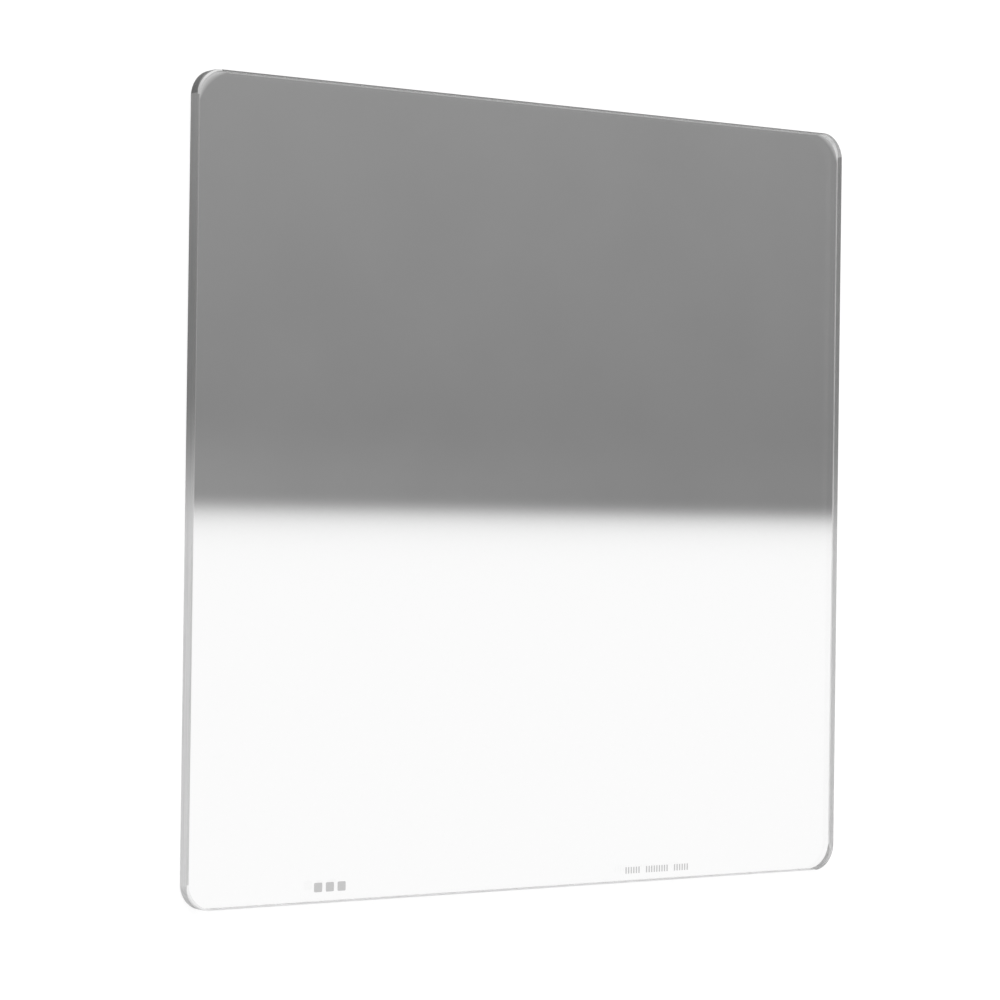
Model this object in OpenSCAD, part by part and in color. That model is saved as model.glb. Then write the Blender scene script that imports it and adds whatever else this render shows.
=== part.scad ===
// Square graduated neutral density filter for a slot-in lens filter holder.
// It is one pane of optical glass with ground edges, clear at one end and grey at the other.
// The pane lies on its rear face. The origin is the middle of that face, X runs across the
// holder's slots, Y runs along them towards the dense end, and Z points out of the front face.
// All sizes are in millimetres.

/* [Pane] */
// Width between the holder's slots
pane_w = 100; // [60:1:170]
// Height along the slots, from the clear end to the dense end
pane_h = 100; // [80:1:200]
// Thickness of the glass, which the slots are cut for
pane_t = 2; // [1.6:0.1:4]

/* [Ground edges] */
// Radius that the four corners are ground to
corner_r = 3; // [2:0.5:12]
// Arris taken off the straight edges, front and rear
edge_arris = 0.15; // [0.05:0.05:0.2]
// Bevel ground round each corner, front and rear, at its widest
corner_bevel = 0.35; // [0.3:0.05:0.6]

/* [Density] */
// Where the full density ends, up from the middle of the pane
dense_line_y = 1; // [-10:0.5:10]
// Distance below that line at which the density has halved
half_depth = 3.1; // [0.5:0.1:6]
// Optical density of the dense half, 0.3 for each stop of light
full_density = 0.6; // [0.3:0.3:1.2]
// Number of fields of colour that draw the fade
fade_fields = 12; // [4:1:24]

/* [Hidden] */
$fn = 96;

// Straight runs between the corner arcs
straight_w = pane_w - 2 * corner_r;
straight_h = pane_h - 2 * corner_r;
// How far each grinding cut reaches outside the glass, so that none ends flush with a face
cut_clear = 0.2;

// A corner bevel is turned about a point set back along the diagonal from the arc's own middle,
// so that it is a crescent. It runs out into the arrises this far past the ends of the arc.
bevel_run = 0.2;
bevel_growth = corner_bevel - edge_arris;
bevel_setback = (2 * bevel_growth * corner_r - pow(bevel_growth, 2) + pow(bevel_run, 2))
    / ((2 - sqrt(2)) * corner_r + sqrt(2) * bevel_run - 2 * bevel_growth);

// The fade is drawn down to this depth, where the glass looks clear
fade_h = 2.5 * half_depth;
// How steeply the density falls away below the dense line
fade_power = 4.3;
clear_glass = [0.93, 0.95, 0.96];
smoke_grey = [0.20, 0.20, 0.21];
ground_glass = [0.78, 0.79, 0.80];
// Opacity of the clear end, which still shows as glass
clear_opacity = 0.15;

// Heights along Y that part the fields of colour, from the dense end down to the clear end
field_limits = [
    pane_h / 2,
    for (i = [0:fade_fields]) dense_line_y - i * fade_h / fade_fields,
    -pane_h / 2
];

// Share of the light that the coating lets through at a depth below the dense line
function light_passed(depth) =
    pow(10, -full_density / (1 + pow(max(depth, 0) / half_depth, fade_power)));

function field_colour(depth) =
    smoke_grey + (clear_glass - smoke_grey) * light_passed(depth);

function field_opacity(depth) =
    1 - (1 - clear_opacity) * light_passed(depth);

// Outline of the pane, a rectangle with its corners rounded
module pane_outline() {
    square([straight_w, pane_h], center = true);
    square([pane_w, straight_h], center = true);
    for (x = [-1, 1], y = [-1, 1])
        translate([x * straight_w / 2, y * straight_h / 2]) circle(r = corner_r);
}

// Stretch of the pane between two heights along Y, before its edges are ground
module pane_stretch(low_y, high_y) {
    linear_extrude(pane_t)
        intersection() {
            pane_outline();
            polygon([
                [-pane_w, low_y], [pane_w, low_y],
                [pane_w, high_y], [-pane_w, high_y]
            ]);
        }
}

// The whole pane in one piece of glass, drawn in fields of colour that fade from grey to clear
module graduated_pane() {
    for (i = [0:len(field_limits) - 2]) {
        high_y = field_limits[i];
        low_y = field_limits[i + 1];
        depth = dense_line_y - (low_y + high_y) / 2;
        color(field_colour(depth), field_opacity(depth)) pane_stretch(low_y, high_y);
    }
}

// Section that a bevel takes off, with the sharp edge at the origin, the face running to the
// left of it and the side running down from it
module bevel_section(bevel) {
    polygon([
        [-bevel - cut_clear, cut_clear],
        [cut_clear, -bevel - cut_clear],
        [cut_clear, cut_clear]
    ]);
}

// Arris cut along a straight edge that lies on the Y axis
module straight_cut(run) {
    rotate([90, 0, 0]) linear_extrude(run, center = true) bevel_section(edge_arris);
}

// Crescent bevel cut round a corner whose arc turns from +X to +Y about the origin
module corner_cut() {
    back = bevel_setback / sqrt(2);
    translate([-back, -back])
        rotate_extrude(angle = 90)
            translate([corner_r + bevel_setback, 0]) bevel_section(corner_bevel);
}

// All that is ground off the edges of the face at z = 0, with the glass below it
module face_grinding() {
    for (turn = [0, 180]) rotate(turn) {
        translate([pane_w / 2, 0]) straight_cut(straight_h);
        translate([0, pane_h / 2]) rotate(90) straight_cut(straight_w);
        translate([straight_w / 2, straight_h / 2]) corner_cut();
        translate([-straight_w / 2, straight_h / 2]) rotate(90) corner_cut();
    }
}

module filter_pane() {
    difference() {
        graduated_pane();
        color(ground_glass) {
            translate([0, 0, pane_t]) face_grinding();
            mirror([0, 0, 1]) face_grinding();
        }
    }
}

filter_pane();
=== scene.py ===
"""Square graduated neutral density filter: one pane of coated optical glass with ground edges."""

import math

import bmesh
import bpy
from mathutils import Matrix, Vector


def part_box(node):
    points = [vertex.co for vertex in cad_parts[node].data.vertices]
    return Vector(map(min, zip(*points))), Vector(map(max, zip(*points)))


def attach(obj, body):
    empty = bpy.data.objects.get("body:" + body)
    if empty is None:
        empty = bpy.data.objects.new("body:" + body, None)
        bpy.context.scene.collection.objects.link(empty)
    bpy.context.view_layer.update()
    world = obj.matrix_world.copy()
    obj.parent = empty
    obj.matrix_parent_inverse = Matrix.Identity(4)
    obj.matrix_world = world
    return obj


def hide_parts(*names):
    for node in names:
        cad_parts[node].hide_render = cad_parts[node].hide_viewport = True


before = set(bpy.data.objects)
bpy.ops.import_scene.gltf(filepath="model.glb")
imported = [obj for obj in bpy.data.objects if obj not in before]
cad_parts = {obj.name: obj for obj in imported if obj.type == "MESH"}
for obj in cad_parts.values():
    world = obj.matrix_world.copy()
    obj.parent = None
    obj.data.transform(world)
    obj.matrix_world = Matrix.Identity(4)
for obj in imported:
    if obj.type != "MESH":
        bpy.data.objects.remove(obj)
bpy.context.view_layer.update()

MM = 0.001

# Pane, from the CAD node's box
PANE_LOW, PANE_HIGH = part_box("filter_pane")
PANE_W, PANE_H, PANE_T = PANE_HIGH - PANE_LOW

# Ground edges. The first four sizes, in millimetres, are the CAD node's
CORNER_R = 3.0
EDGE_ARRIS = 0.15
CORNER_BEVEL = 0.35
BEVEL_RUN = 0.2  # how far past its arc a corner bevel runs out into the arrises
BEVEL_RIM = 0.2  # depth below the front face at which the painted light on a corner bevel starts
RUN_STEPS = 3
ARC_STEPS = 32  # too fine to show as facets

# Grey coating, in millimetres from the middle of the pane
DENSE_LINE_Y = 1.0  # full density ends here
HALF_DEPTH = 3.1  # the density has halved this far below the line
FADE_POWER = 4.3  # how steeply it falls away
COAT_RADIUS = 3.6  # corners of the front coat
COAT_LOW = (-49.88, -49.85)  # where it stops at the left and at the clear end
COAT_HIGH = (49.05, 49.66)  # where it stops at the right and at the dense end
COAT_SOFT = 0.12  # width that the coat runs out over along its sides
COAT_SOFT_CORNER = 0.9  # and in its corners
CLOUD_SCALE = 0.07  # in 1/mm, for a coat that is never quite even

# Optical glass, taken to be a crown glass
GLASS_IOR = 1.52

# Grit of the ground edges, in 1/mm. The real one is near 0.02 mm, and is drawn coarser to show
GRIT_SCALE = 8.0
GRIT_DEPTH = 0.02  # in millimetres

# Unevenness of the printed ink, in 1/mm, also drawn coarser than the real one
INK_GRAIN_SCALE = 6.0

# Tones, matched to those of the photograph. A dense tint is what one full layer of grey passes
CLEAR_GLASS = "#fbfbfb"
DENSE_COAT = "#797979"
# Painted shade: the ground edges, corners and bevels have no grey of their own; their dense tints paint
# the shade of light through the grey coat
DENSE_EDGE_SHADE = "#8e8e8e"
CLEAR_CORNER = "#fcfcfc"
# Painted shade and light for the corners: dark at the left of the dense end, pale at the right
DENSE_CORNER_SHADE = "#606060"
CLEAR_BEVEL = "#fefefe"
# Painted light and shade for the front bevels' crescents
DENSE_BEVEL_SHADE = "#6a6a6a"
# Painted shade on the rear arris; painted light and shade on the rear bevels, pale at the dense end
# towards the lamp, grey at the clear end
DENSE_REAR_ARRIS_SHADE = "#c8c8c8"
REAR_BEVEL_SHADED_CLEAR_END = "#b8b8b8"
REAR_BEVEL_LIT_DENSE_END = "#fdfdfd"
INK = "#c9c9c9"
WHITE = "#ffffff"

# Reach of the changes in tone, in millimetres from the middle of the pane
SIDE_X = 50.0  # from the left side to the right
TURN_Y = 10.0  # the tones of one end turn into those of the other within this distance

# Printed marks, in millimetres from the middle of the pane
INK_SUNK = 0.002  # how far the print reaches into the glass, so that no faces lie in one plane
INK_PROUD = 0.006
SQUARES_AT = (-30.3, -48.03)
SQUARE_COUNT = 3
SQUARE_SIZE = 1.15
SQUARE_RADIUS = 0.15
SQUARE_STEP = 1.67
BARS_AT = (19.7, -48.4)
BAR_GROUPS = (6, 9, 6)
BAR_WIDTH = 0.2
BAR_HEIGHT = 0.85
BAR_RADIUS = 0.04
BAR_STEP = 0.42
GROUP_GAP = 1.24

# Camera, fitted to five straight lines of the photograph, in the pane's frame
CAMERA_EYE = Vector((-229.5, -3.4, 327.3)) * MM
CAMERA_AIM = Vector((-5.95, -0.615, 2.0)) * MM
CAMERA_ROLL = math.radians(-0.76)
CAMERA_LENS = 112.63  # mm, on a sensor 36 mm wide

# Stage
FLOOR_SIZE = 3.0
FLOOR_GAP = 0.05 * MM  # keeps the floor clear of the rear face that rests on it
FLOOR_LIGHT = "#e0e0e0"  # what the floor throws back on the pane
FLOOR_SEEN = "#949494"  # what the camera sees of its lit share, on top of the glow
FLOOR_GLOW = 0.8
WORLD_LIGHT = 0.75
LAMP_PLACE = Vector((-0.1, 0.5, 0.6))
LAMP_SIZE = 0.5
LAMP_POWER = 2.0


def linear(hex_colour):
    """Turns an sRGB colour such as "#8c8c8c" into the linear colour that a node takes."""
    levels = [int(hex_colour[i:i + 2], 16) / 255 for i in (1, 3, 5)]
    return [c / 12.92 if c <= 0.04045 else ((c + 0.055) / 1.055) ** 2.4 for c in levels] + [1.0]


def add_node(tree, kind, inputs=None, **settings):
    """Adds a node, sets its settings, and sets each input to a value or links it to an output."""
    node = tree.nodes.new(kind)
    for name, value in settings.items():
        setattr(node, name, value)
    for socket, value in (inputs or {}).items():
        if isinstance(value, bpy.types.NodeSocket):
            tree.links.new(value, node.inputs[socket])
        else:
            node.inputs[socket].default_value = value
    return node


def new_material(name):
    """A material with an empty node tree."""
    material = bpy.data.materials.new(name)
    material.use_nodes = True
    material.node_tree.nodes.clear()
    return material, material.node_tree


# Materials


def place_in_mm(tree):
    """Place on the pane in millimetres, from the middle of the rear face."""
    place = add_node(tree, "ShaderNodeTexCoord").outputs["Object"]
    return add_node(
        tree, "ShaderNodeVectorMath", {0: place, "Scale": 1 / MM}, operation="SCALE"
    ).outputs[0]


def coating_strength(tree, place):
    """Strength of the grey: full above the dense line and gone some way below it."""
    x_y_z = add_node(tree, "ShaderNodeSeparateXYZ", {0: place}).outputs
    below = add_node(
        tree, "ShaderNodeMath", {0: DENSE_LINE_Y, 1: x_y_z["Y"]}, operation="SUBTRACT"
    ).outputs[0]
    depth = add_node(tree, "ShaderNodeMath", {0: below, 1: 0.0}, operation="MAXIMUM").outputs[0]
    share = add_node(
        tree, "ShaderNodeMath", {0: depth, 1: HALF_DEPTH}, operation="DIVIDE"
    ).outputs[0]
    fall = add_node(tree, "ShaderNodeMath", {0: share, 1: FADE_POWER}, operation="POWER").outputs[0]
    total = add_node(tree, "ShaderNodeMath", {0: fall, 1: 1.0}, operation="ADD").outputs[0]
    fade = add_node(tree, "ShaderNodeMath", {0: 1.0, 1: total}, operation="DIVIDE").outputs[0]

    # The coat thins a little towards the dense end and the left, and is never quite even
    slope = add_node(
        tree, "ShaderNodeVectorMath", {0: place, 1: (0.0006, -0.0031, 0.0)}, operation="DOT_PRODUCT"
    ).outputs["Value"]
    clouds = add_node(tree, "ShaderNodeTexNoise", {"Vector": place, "Scale": CLOUD_SCALE}).outputs["Fac"]
    uneven = add_node(
        tree, "ShaderNodeMapRange", {0: clouds, 1: 0.3, 2: 0.7, 3: 0.982, 4: 1.008}
    ).outputs[0]
    level = add_node(tree, "ShaderNodeMath", {0: slope, 1: uneven}, operation="ADD").outputs[0]
    # It starts to thin a little way above the dense line, most at the left
    nearing = add_node(
        tree,
        "ShaderNodeMapRange",
        {0: x_y_z["Y"], 1: 10.0, 2: 0.0, 3: 0.0, 4: 1.0},
        interpolation_type="SMOOTHSTEP",
    ).outputs[0]
    early = add_node(
        tree, "ShaderNodeMapRange", {0: x_y_z["X"], 1: -SIDE_X, 2: 10.0, 3: 0.125, 4: 0.055}
    ).outputs[0]
    thinning = add_node(
        tree, "ShaderNodeMath", {0: nearing, 1: early}, operation="MULTIPLY"
    ).outputs[0]
    level = add_node(
        tree, "ShaderNodeMath", {0: level, 1: thinning}, operation="SUBTRACT"
    ).outputs[0]
    coat = add_node(tree, "ShaderNodeMath", {0: fade, 1: level}, operation="MULTIPLY").outputs[0]

    # The front coat leaves a clear rim at the right and at the dense end, as a mask would
    middle = [(low + high) / 2 for low, high in zip(COAT_LOW, COAT_HIGH)] + [0.0]
    straight = [(high - low) / 2 - COAT_RADIUS for low, high in zip(COAT_LOW, COAT_HIGH)]
    centred = add_node(
        tree, "ShaderNodeVectorMath", {0: place, 1: middle}, operation="SUBTRACT"
    ).outputs[0]
    folded = add_node(tree, "ShaderNodeVectorMath", {0: centred}, operation="ABSOLUTE").outputs[0]
    outside = add_node(
        tree, "ShaderNodeVectorMath", {0: folded, 1: straight + [PANE_T / MM]}, operation="SUBTRACT"
    ).outputs[0]
    round_corner = add_node(
        tree, "ShaderNodeVectorMath", {0: outside, 1: (0.0, 0.0, 0.0)}, operation="MAXIMUM"
    ).outputs[0]
    reach = add_node(
        tree, "ShaderNodeVectorMath", {0: round_corner}, operation="LENGTH"
    ).outputs["Value"]
    # It runs out more softly round its corners
    sides = add_node(tree, "ShaderNodeSeparateXYZ", {0: round_corner}).outputs
    diagonal = add_node(
        tree, "ShaderNodeMath", {0: sides["X"], 1: sides["Y"]}, operation="MULTIPLY"
    ).outputs[0]
    full_reach = add_node(
        tree,
        "ShaderNodeMapRange",
        {
            0: diagonal,
            1: 0.0,
            2: COAT_RADIUS**2 / 2,
            3: COAT_RADIUS - COAT_SOFT,
            4: COAT_RADIUS - COAT_SOFT_CORNER,
        },
    ).outputs[0]
    masked = add_node(
        tree, "ShaderNodeMapRange", {0: reach, 1: full_reach, 2: COAT_RADIUS, 3: 1.0, 4: 0.0}
    ).outputs[0]
    rear = add_node(
        tree, "ShaderNodeMath", {0: x_y_z["Z"], 1: PANE_T / MM / 2}, operation="LESS_THAN"
    ).outputs[0]
    reached = add_node(tree, "ShaderNodeMath", {0: masked, 1: rear}, operation="MAXIMUM").outputs[0]
    return add_node(tree, "ShaderNodeMath", {0: coat, 1: reached}, operation="MULTIPLY").outputs[0]


def edge_shade_strength(tree, place):
    """Strength of the painted shade on a ground edge, for light through the grey coat; it changes over
    19 mm of its run.
    """
    x_y_z = add_node(tree, "ShaderNodeSeparateXYZ", {0: place}).outputs
    rise = add_node(
        tree,
        "ShaderNodeMapRange",
        {0: x_y_z["Y"], 1: -6.0, 2: 13.2, 3: 0.0, 4: 1.0},
        interpolation_type="SMOOTHSTEP",
    ).outputs[0]
    # In the photograph it is weaker towards the dense end and at the right
    dense_end = add_node(
        tree, "ShaderNodeMapRange", {0: x_y_z["Y"], 1: 22.0, 2: 50.0, 3: 1.0, 4: 0.66}
    ).outputs[0]
    right = add_node(
        tree, "ShaderNodeMapRange", {0: x_y_z["X"], 1: -SIDE_X, 2: SIDE_X, 3: 1.0, 4: 0.6}
    ).outputs[0]
    weaker = add_node(
        tree, "ShaderNodeMath", {0: dense_end, 1: right}, operation="MINIMUM"
    ).outputs[0]
    return add_node(tree, "ShaderNodeMath", {0: rise, 1: weaker}, operation="MULTIPLY").outputs[0]


def graded_tint(tree, strength, clear, dense):
    """Clear tint, darkened by a layer that passes the dense tint raised to the layer's strength."""
    layer = add_node(tree, "ShaderNodeGamma", {"Color": linear(dense), "Gamma": strength}).outputs[0]
    return add_node(
        tree,
        "ShaderNodeMix",
        {0: 1.0, 6: linear(clear), 7: layer},
        data_type="RGBA",
        blend_type="MULTIPLY",
    ).outputs[2]


def streaked(tree, tint, streaks, low, high):
    """The tint, darkened or lightened along the streaks from the low share of it to the high."""
    share = add_node(
        tree, "ShaderNodeMapRange", {0: streaks, 1: 0.3, 2: 0.7, 3: low, 4: high}
    ).outputs[0]
    return add_node(
        tree, "ShaderNodeVectorMath", {0: tint, "Scale": share}, operation="SCALE"
    ).outputs[0]


def ground_surface(tree, tint, place, roughness, clear_share, scattered_share):
    """Frosted glass, which lets through a clear share of the light and scatters another share."""
    grit = add_node(
        tree, "ShaderNodeTexNoise", {"Vector": place, "Scale": GRIT_SCALE, "Detail": 3.0}
    ).outputs["Fac"]
    bump = add_node(
        tree, "ShaderNodeBump", {"Height": grit, "Strength": 0.25, "Distance": GRIT_DEPTH * MM}
    ).outputs[0]
    glass = add_node(
        tree,
        "ShaderNodeBsdfPrincipled",
        {
            "Base Color": tint,
            "Roughness": roughness,
            "IOR": GLASS_IOR,
            "Transmission Weight": clear_share,
            "Normal": bump,
        },
    ).outputs[0]
    milky = add_node(tree, "ShaderNodeBsdfTranslucent", {"Color": tint, "Normal": bump}).outputs[0]
    surface = add_node(
        tree, "ShaderNodeMixShader", {0: scattered_share, 1: glass, 2: milky}
    ).outputs[0]
    add_node(tree, "ShaderNodeOutputMaterial", {"Surface": surface})


def coated_glass_polished():
    """Optical glass, polished flat and vacuum coated: clear and sharp, with a grey that ends softly."""
    material, tree = new_material("coated_optical_glass_polished")
    tint = graded_tint(tree, coating_strength(tree, place_in_mm(tree)), CLEAR_GLASS, DENSE_COAT)
    glass = add_node(
        tree,
        "ShaderNodeBsdfPrincipled",
        {"Base Color": tint, "Roughness": 0.0, "IOR": GLASS_IOR, "Transmission Weight": 1.0},
    )
    add_node(tree, "ShaderNodeOutputMaterial", {"Surface": glass.outputs[0]})
    return material


def glass_edge_ground():
    """Optical glass, fine ground: a frosted edge, greyed by painted shade, with faint streaks along its
    run.
    """
    material, tree = new_material("optical_glass_fine_ground")
    place = place_in_mm(tree)
    tint = graded_tint(tree, edge_shade_strength(tree, place), CLEAR_GLASS, DENSE_EDGE_SHADE)
    along = add_node(
        tree, "ShaderNodeVectorMath", {0: place, 1: (0.06, 0.06, 5.0)}, operation="MULTIPLY"
    ).outputs[0]
    streaks = add_node(
        tree, "ShaderNodeTexNoise", {"Vector": along, "Scale": 1.0, "Detail": 3.0}
    ).outputs["Fac"]
    tint = streaked(tree, tint, streaks, low=0.88, high=1.06)
    # Painted shade: the front arris is darker than the side, but not at the clear end, and most at the
    # dense end
    x_y_z = add_node(tree, "ShaderNodeSeparateXYZ", {0: place}).outputs
    shade_scale = 1.0
    for low_y, high_y, deeper_shade in ((-49.85, -49.7, 0.71), (-TURN_Y, TURN_Y, 0.86), (49.7, 49.85, 0.55)):
        shade_scale = add_node(
            tree, "ShaderNodeMapRange", {0: x_y_z["Y"], 1: low_y, 2: high_y, 3: shade_scale, 4: deeper_shade}
        ).outputs[0]
    side_z = PANE_T / MM - EDGE_ARRIS
    shaded_arris = add_node(
        tree, "ShaderNodeMapRange", {0: x_y_z["Z"], 1: side_z - 0.02, 2: side_z, 3: 1.0, 4: shade_scale}
    ).outputs[0]
    tint = add_node(
        tree, "ShaderNodeVectorMath", {0: tint, "Scale": shaded_arris}, operation="SCALE"
    ).outputs[0]
    ground_surface(tree, tint, place, roughness=0.45, clear_share=0.2, scattered_share=0.2)
    return material


def corner_tint(tree, place):
    """Tint of the ground corners, with painted shade and light: at the dense end dark at the left and
    pale at the right.
    """
    x_y_z = add_node(tree, "ShaderNodeSeparateXYZ", {0: place}).outputs
    paler = add_node(
        tree, "ShaderNodeMapRange", {0: x_y_z["X"], 1: -SIDE_X, 2: SIDE_X, 3: 1.0, 4: 0.15}
    ).outputs[0]
    strength = add_node(
        tree, "ShaderNodeMath", {0: edge_shade_strength(tree, place), 1: paler}, operation="MULTIPLY"
    ).outputs[0]
    tint = graded_tint(tree, strength, CLEAR_CORNER, DENSE_CORNER_SHADE)
    tint = streaked(tree, tint, slanting(tree, place), low=0.82, high=1.06)
    # Painted shade: those at the clear end start as pale as the sides and get darker on their way round
    deeper_shade = add_node(
        tree, "ShaderNodeMapRange", {0: way_round(tree, place), 1: -3.0, 2: 1.5, 3: 1.0, 4: 0.7}
    ).outputs[0]
    shade_scale = add_node(
        tree, "ShaderNodeMapRange", {0: x_y_z["Y"], 1: -TURN_Y, 2: TURN_Y, 3: deeper_shade, 4: 1.0}
    ).outputs[0]
    return add_node(
        tree, "ShaderNodeVectorMath", {0: tint, "Scale": shade_scale}, operation="SCALE"
    ).outputs[0]


def glass_corner_ground():
    """Optical glass, ground at the corners as if on a coarser wheel, with slanting streaks."""
    material, tree = new_material("optical_glass_corner_ground")
    place = place_in_mm(tree)
    tint = corner_tint(tree, place)
    ground_surface(tree, tint, place, roughness=0.5, clear_share=0.2, scattered_share=0.4)
    return material


def glass_corner_bevelled():
    """Optical glass, bevelled at the front corners: frosted crescents, painted bright at the left as if
    lit.
    """
    material, tree = new_material("optical_glass_bevel_ground")
    place = place_in_mm(tree)
    # In the photograph the crescents are greyer towards the sides of the pane, and at the right
    # Painted light and shade: the crescents are painted pale towards the ends of the pane, greyer
    # towards its sides and right
    lifted = add_node(
        tree, "ShaderNodeMapRange", {0: way_round(tree, place), 1: -3.2, 2: 0.5, 3: 0.4, 4: 0.02}
    ).outputs[0]
    x_y_z = add_node(tree, "ShaderNodeSeparateXYZ", {0: place}).outputs
    right = add_node(
        tree, "ShaderNodeMapRange", {0: x_y_z["X"], 1: 0.0, 2: SIDE_X, 3: 0.0, 4: 0.58}
    ).outputs[0]
    gathered = add_node(
        tree, "ShaderNodeMath", {0: edge_shade_strength(tree, place), 1: lifted}, operation="MULTIPLY"
    ).outputs[0]
    strength = add_node(
        tree, "ShaderNodeMath", {0: gathered, 1: right}, operation="MAXIMUM"
    ).outputs[0]
    tint = graded_tint(tree, strength, CLEAR_BEVEL, DENSE_BEVEL_SHADE)
    tint = streaked(tree, tint, slanting(tree, place), low=0.94, high=1.0)
    # Its lower rim has the tone of the corner below it
    rim_z = PANE_T / MM - BEVEL_RIM
    above_rim = add_node(
        tree, "ShaderNodeMapRange", {0: x_y_z["Z"], 1: rim_z - 0.03, 2: rim_z, 3: 0.0, 4: 1.0}
    ).outputs[0]
    tint = add_node(
        tree,
        "ShaderNodeMix",
        {0: above_rim, 6: corner_tint(tree, place), 7: tint},
        data_type="RGBA",
    ).outputs[2]
    ground_surface(tree, tint, place, roughness=0.45, clear_share=0.45, scattered_share=0.0)
    return material


def glass_rear_edge_ground():
    """Optical glass, ground at the rear arris and bevels: milky, so they show through the pane, with
    painted light and shade.
    """
    material, tree = new_material("optical_glass_rear_edge_ground")
    place = place_in_mm(tree)
    arris = graded_tint(tree, edge_shade_strength(tree, place), CLEAR_BEVEL, DENSE_REAR_ARRIS_SHADE)
    y = add_node(tree, "ShaderNodeSeparateXYZ", {0: place}).outputs["Y"]
    # Painted light and shade: the rear bevels go from grey at the clear end to pale at the dense end
    dense_end = add_node(
        tree, "ShaderNodeMapRange", {0: y, 1: -TURN_Y, 2: TURN_Y, 3: 0.0, 4: 1.0}
    ).outputs[0]
    bevel = add_node(
        tree,
        "ShaderNodeMix",
        {0: dense_end, 6: linear(REAR_BEVEL_SHADED_CLEAR_END), 7: linear(REAR_BEVEL_LIT_DENSE_END)},
        data_type="RGBA",
    ).outputs[2]
    folded = add_node(tree, "ShaderNodeVectorMath", {0: place}, operation="ABSOLUTE").outputs[0]
    corner_way = add_node(
        tree, "ShaderNodeVectorMath", {0: folded, 1: (1.0, 1.0, 0.0)}, operation="DOT_PRODUCT"
    ).outputs["Value"]
    at_corner = add_node(
        tree, "ShaderNodeMapRange", {0: corner_way, 1: 96.5, 2: 97.0, 3: 0.0, 4: 1.0}
    ).outputs[0]
    tint = add_node(
        tree, "ShaderNodeMix", {0: at_corner, 6: arris, 7: bevel}, data_type="RGBA"
    ).outputs[2]
    tint = streaked(tree, tint, slanting(tree, place), low=0.94, high=1.0)
    ground_surface(tree, tint, place, roughness=0.5, clear_share=0.4, scattered_share=0.4)
    return material


def way_round(tree, place):
    """Way round a corner in millimetres, from the side of the pane, -3, to its end, 3."""
    folded = add_node(tree, "ShaderNodeVectorMath", {0: place}, operation="ABSOLUTE").outputs[0]
    return add_node(
        tree, "ShaderNodeVectorMath", {0: folded, 1: (-1.0, 1.0, 0.0)}, operation="DOT_PRODUCT"
    ).outputs["Value"]


def slanting(tree, place):
    """Streaks that slant across the edge of each corner."""
    folded = add_node(tree, "ShaderNodeVectorMath", {0: place}, operation="ABSOLUTE").outputs[0]
    across = add_node(
        tree, "ShaderNodeVectorMath", {0: folded, 1: (3.0, -3.0, 4.0)}, operation="DOT_PRODUCT"
    ).outputs["Value"]
    along = add_node(
        tree, "ShaderNodeVectorMath", {0: folded, 1: (0.3, -0.3, -0.4)}, operation="DOT_PRODUCT"
    ).outputs["Value"]
    turned = add_node(tree, "ShaderNodeCombineXYZ", {0: across, 1: along}).outputs[0]
    return add_node(
        tree, "ShaderNodeTexNoise", {"Vector": turned, "Scale": 1.0, "Detail": 3.0}
    ).outputs["Fac"]


def ink_screen_printed():
    """Grey ink, screen printed: flat and matt, with the faint unevenness that the screen leaves."""
    material, tree = new_material("grey_ink_screen_printed")
    grain = add_node(
        tree, "ShaderNodeTexNoise", {"Vector": place_in_mm(tree), "Scale": INK_GRAIN_SCALE}
    ).outputs["Fac"]
    tint = streaked(tree, linear(INK)[:3], grain, low=0.96, high=1.04)
    ink = add_node(tree, "ShaderNodeBsdfPrincipled", {"Base Color": tint, "Roughness": 0.6})
    add_node(tree, "ShaderNodeOutputMaterial", {"Surface": ink.outputs[0]})
    return material


# The pane

FACES, EDGES, CORNERS, BEVELS, REAR_EDGES = range(5)


def corner_stations():
    """Sections round the corner at +X +Y, as (side point, depth of bevel, face point, in the arc)."""
    growth = CORNER_BEVEL - EDGE_ARRIS
    setback = (2 * growth * CORNER_R - growth**2 + BEVEL_RUN**2) / (
        (2 - math.sqrt(2)) * CORNER_R + math.sqrt(2) * BEVEL_RUN - 2 * growth
    )
    back = setback / math.sqrt(2)
    turned_about = Vector((-back, -back))
    ring = CORNER_R + setback - CORNER_BEVEL
    run_out = math.sqrt(ring**2 - (CORNER_R - EDGE_ARRIS + back) ** 2) - back

    sides = [Vector((CORNER_R, -BEVEL_RUN * (1 - k / RUN_STEPS))) for k in range(RUN_STEPS)]
    turns = [k / ARC_STEPS * math.pi / 2 for k in range(ARC_STEPS + 1)]
    sides += [CORNER_R * Vector((math.cos(turn), math.sin(turn))) for turn in turns]
    sides += [Vector((BEVEL_RUN * (k + 1) / RUN_STEPS * -1, CORNER_R)) for k in range(RUN_STEPS)]

    stations = []
    for k, side in enumerate(sides):
        away = side - turned_about
        depth = away.length - ring
        face = turned_about + ring * away.normalized()
        in_arc = RUN_STEPS <= k < RUN_STEPS + ARC_STEPS
        stations.append([side, depth, face, in_arc])
    # At its two ends the bevel's circle meets the straight line of the arris
    stations[0][1:3] = [EDGE_ARRIS, Vector((CORNER_R - EDGE_ARRIS, run_out))]
    stations[-1][1:3] = [EDGE_ARRIS, Vector((run_out, CORNER_R - EDGE_ARRIS))]
    return stations


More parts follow.
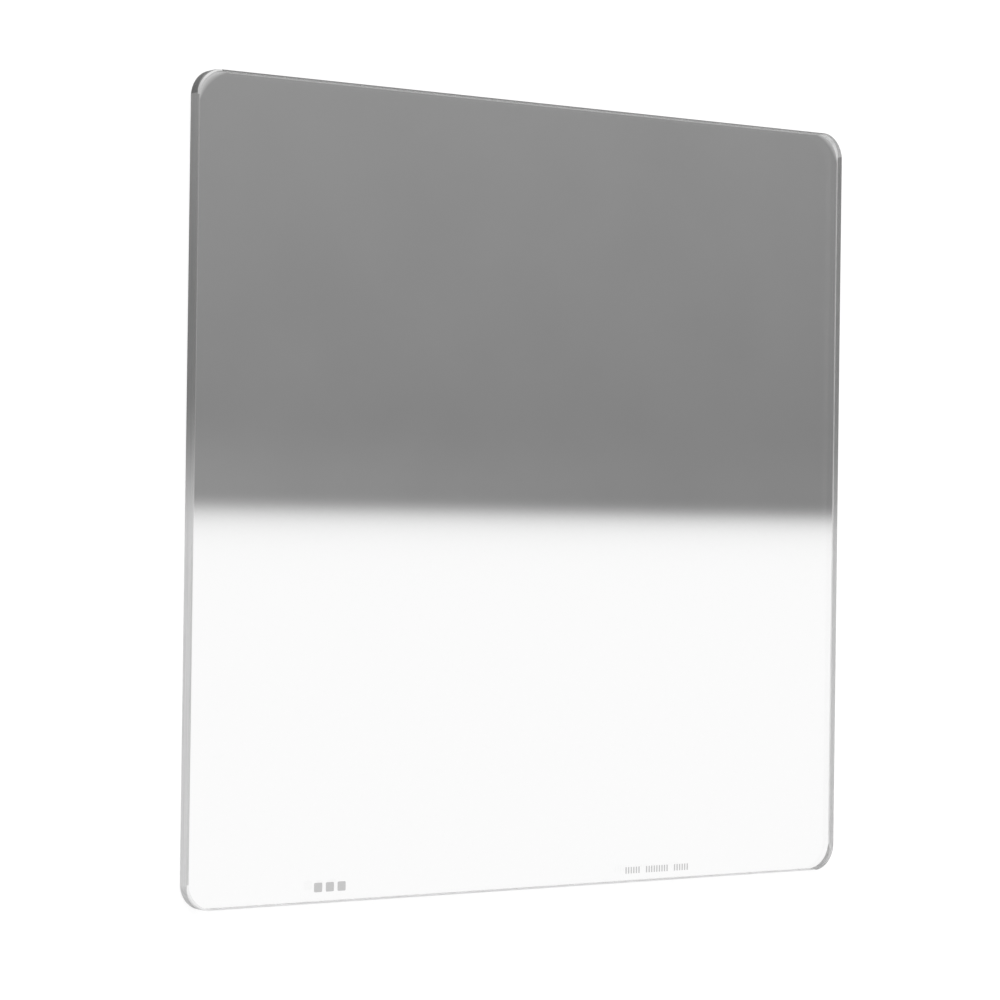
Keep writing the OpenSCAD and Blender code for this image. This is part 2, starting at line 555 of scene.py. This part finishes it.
def make_pane():
    """The pane as one closed mesh, with crescent bevels that run out at the ends of each corner."""
    mesh = bmesh.new()
    thick = PANE_T / MM
    half_w = PANE_W / MM / 2 - CORNER_R
    half_h = PANE_H / MM / 2 - CORNER_R
    sections = []
    for turn, (centre_x, centre_y) in enumerate(
        [(half_w, half_h), (-half_w, half_h), (-half_w, -half_h), (half_w, -half_h)]
    ):
        spin = Matrix.Rotation(turn * math.pi / 2, 2)
        centre = Vector((centre_x, centre_y))
        stations = corner_stations()
        for k, (side, depth, face, in_arc) in enumerate(stations):
            side = spin @ side + centre
            face = spin @ face + centre
            heights = [(face, thick), (side, thick - depth), (side, depth), (face, 0)]
            points = [mesh.verts.new(Vector((at.x, at.y, z)) * MM) for at, z in heights]
            bevelled = k < len(stations) - 1
            sections.append((points, BEVELS if bevelled else EDGES, CORNERS if in_arc else EDGES))

    for (here, bevel, side), (there, _, _) in zip(sections, sections[1:] + sections[:1]):
        for row, kind in enumerate((bevel, side, REAR_EDGES)):
            face = mesh.faces.new([here[row], here[row + 1], there[row + 1], there[row]])
            face.material_index = kind
            face.smooth = True
    for row in (0, 3):
        mesh.faces.new([points[row] for points, _, _ in sections]).material_index = FACES
    bmesh.ops.recalc_face_normals(mesh, faces=mesh.faces)

    data = bpy.data.meshes.new("pane")
    mesh.to_mesh(data)
    mesh.free()
    data.set_sharp_from_angle(angle=math.radians(30))
    pane = bpy.data.objects.new("coated_glass_pane", data)
    bpy.context.scene.collection.objects.link(pane)
    for material in (
        coated_glass_polished(),
        glass_edge_ground(),
        glass_corner_ground(),
        glass_corner_bevelled(),
        glass_rear_edge_ground(),
    ):
        data.materials.append(material)
    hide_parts("filter_pane")
    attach(pane, "root")


def rounded_block(mesh, centre, width, height, radius):
    """A flat block with rounded corners, from just inside the front face to just proud of it."""
    outline = []
    for turn, (sign_x, sign_y) in enumerate([(1, 1), (-1, 1), (-1, -1), (1, -1)]):
        for k in range(5):
            angle = (turn + k / 4) * math.pi / 2
            x = centre[0] + sign_x * (width / 2 - radius) + radius * math.cos(angle)
            y = centre[1] + sign_y * (height / 2 - radius) + radius * math.sin(angle)
            outline.append((x, y))
    front = PANE_T / MM
    rings = [
        [mesh.verts.new(Vector((x, y, z)) * MM) for x, y in outline]
        for z in (front - INK_SUNK, front + INK_PROUD)
    ]
    mesh.faces.new(list(reversed(rings[0])))
    mesh.faces.new(rings[1])
    for k, low in enumerate(rings[0]):
        nearby = (k + 1) % len(outline)
        mesh.faces.new([low, rings[0][nearby], rings[1][nearby], rings[1][k]])


def link_print(name, mesh, ink):
    """Adds a printed mark that stays with the pane."""
    data = bpy.data.meshes.new(name)
    mesh.to_mesh(data)
    mesh.free()
    data.materials.append(ink)
    mark = bpy.data.objects.new(name, data)
    bpy.context.scene.collection.objects.link(mark)
    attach(mark, "root")


def make_marks():
    """Two plain marks near the clear end: three squares, and three groups of thin bars."""
    ink = ink_screen_printed()
    mesh = bmesh.new()
    for k in range(SQUARE_COUNT):
        x = SQUARES_AT[0] + (k - (SQUARE_COUNT - 1) / 2) * SQUARE_STEP
        rounded_block(mesh, (x, SQUARES_AT[1]), SQUARE_SIZE, SQUARE_SIZE, SQUARE_RADIUS)
    link_print("print_squares", mesh, ink)

    mesh = bmesh.new()
    steps = sum(BAR_GROUPS) - len(BAR_GROUPS)
    x = BARS_AT[0] - (steps * BAR_STEP + (len(BAR_GROUPS) - 1) * GROUP_GAP) / 2
    for count in BAR_GROUPS:
        for k in range(count):
            centre = (x + k * BAR_STEP, BARS_AT[1])
            rounded_block(mesh, centre, BAR_WIDTH, BAR_HEIGHT, BAR_RADIUS)
        x += (count - 1) * BAR_STEP + GROUP_GAP
    link_print("print_bars", mesh, ink)


# Stage, lights and camera


def white_behind(tree, plain, seen):
    """The plain shader, or the seen one for the camera, a reflection or a view through glass."""
    path = add_node(tree, "ShaderNodeLightPath")
    straight = add_node(
        tree,
        "ShaderNodeMath",
        {0: path.outputs["Is Camera Ray"], 1: path.outputs["Is Glossy Ray"]},
        operation="MAXIMUM",
    ).outputs[0]
    any_view = add_node(
        tree,
        "ShaderNodeMath",
        {0: straight, 1: path.outputs["Is Transmission Ray"]},
        operation="MAXIMUM",
    ).outputs[0]
    return add_node(tree, "ShaderNodeMixShader", {0: any_view, 1: plain, 2: seen}).outputs[0]


def make_floor():
    """A pale floor that looks white and keeps a soft shadow of the pane."""
    material, tree = new_material("pale_studio_floor")
    path = add_node(tree, "ShaderNodeLightPath")
    lit = add_node(tree, "ShaderNodeBsdfDiffuse", {"Color": linear(FLOOR_LIGHT)}).outputs[0]
    dim = add_node(tree, "ShaderNodeBsdfDiffuse", {"Color": linear(FLOOR_SEEN)}).outputs[0]
    glow = add_node(
        tree, "ShaderNodeEmission", {"Color": linear(WHITE), "Strength": FLOOR_GLOW}
    ).outputs[0]
    shadowed = add_node(tree, "ShaderNodeAddShader", {0: dim, 1: glow}).outputs[0]
    white = add_node(
        tree, "ShaderNodeEmission", {"Color": linear(WHITE), "Strength": 1.0}
    ).outputs[0]
    through = add_node(
        tree,
        "ShaderNodeMath",
        {0: path.outputs["Is Glossy Ray"], 1: path.outputs["Is Transmission Ray"]},
        operation="MAXIMUM",
    ).outputs[0]
    first = add_node(
        tree, "ShaderNodeMixShader", {0: path.outputs["Is Camera Ray"], 1: lit, 2: shadowed}
    ).outputs[0]
    surface = add_node(tree, "ShaderNodeMixShader", {0: through, 1: first, 2: white}).outputs[0]
    add_node(tree, "ShaderNodeOutputMaterial", {"Surface": surface})

    data = bpy.data.meshes.new("floor")
    half = FLOOR_SIZE / 2
    z = PANE_LOW.z - FLOOR_GAP
    corners = [(-half, -half, z), (half, -half, z), (half, half, z), (-half, half, z)]
    data.from_pydata(corners, [], [(0, 1, 2, 3)])
    data.materials.append(material)
    floor = bpy.data.objects.new("studio_floor", data)
    bpy.context.scene.collection.objects.link(floor)


def light_world():
    """Even light from all round, and plain white where the camera sees it."""
    world = bpy.data.worlds.new("soft_studio")
    bpy.context.scene.world = world
    world.use_nodes = True
    tree = world.node_tree
    tree.nodes.clear()
    even, white = [
        add_node(
            tree, "ShaderNodeBackground", {"Color": linear(WHITE), "Strength": strength}
        ).outputs[0]
        for strength in (WORLD_LIGHT, 1.0)
    ]
    add_node(tree, "ShaderNodeOutputWorld", {"Surface": white_behind(tree, even, white)})


def add_lamp():
    """One large soft lamp beyond the dense end of the pane."""
    data = bpy.data.lights.new("soft_box", "AREA")
    data.shape = "SQUARE"
    data.size = LAMP_SIZE
    data.energy = LAMP_POWER
    lamp = bpy.data.objects.new("soft_box", data)
    lamp.location = LAMP_PLACE
    lamp.rotation_mode = "QUATERNION"
    lamp.rotation_quaternion = (-LAMP_PLACE).to_track_quat("-Z", "Y")
    bpy.context.scene.collection.objects.link(lamp)


def add_camera():
    """The photograph's view: from the left of the pane and above it, with its dense end at the top."""
    back = (CAMERA_EYE - CAMERA_AIM).normalized()
    level_right = Vector((0, 1, 0)).cross(back).normalized()
    level_up = back.cross(level_right)
    up = level_up * math.cos(CAMERA_ROLL) + level_right * math.sin(CAMERA_ROLL)
    right = up.cross(back)
    data = bpy.data.cameras.new("photo_camera")
    data.sensor_width = 36
    data.lens = CAMERA_LENS
    data.clip_start = 0.01
    camera = bpy.data.objects.new("photo_camera", data)
    turn = Matrix((right, up, back)).transposed().to_4x4()
    camera.matrix_world = Matrix.Translation(CAMERA_EYE) @ turn
    bpy.context.scene.collection.objects.link(camera)
    bpy.context.scene.camera = camera


make_pane()
make_marks()
make_floor()
light_world()
add_lamp()
add_camera()
bpy.context.scene.view_settings.view_transform = "Standard"
# Light goes to and fro inside the pane many times before it leaves at an edge
bpy.context.scene.cycles.glossy_bounces = 12
bpy.context.scene.cycles.transmission_bounces = 16
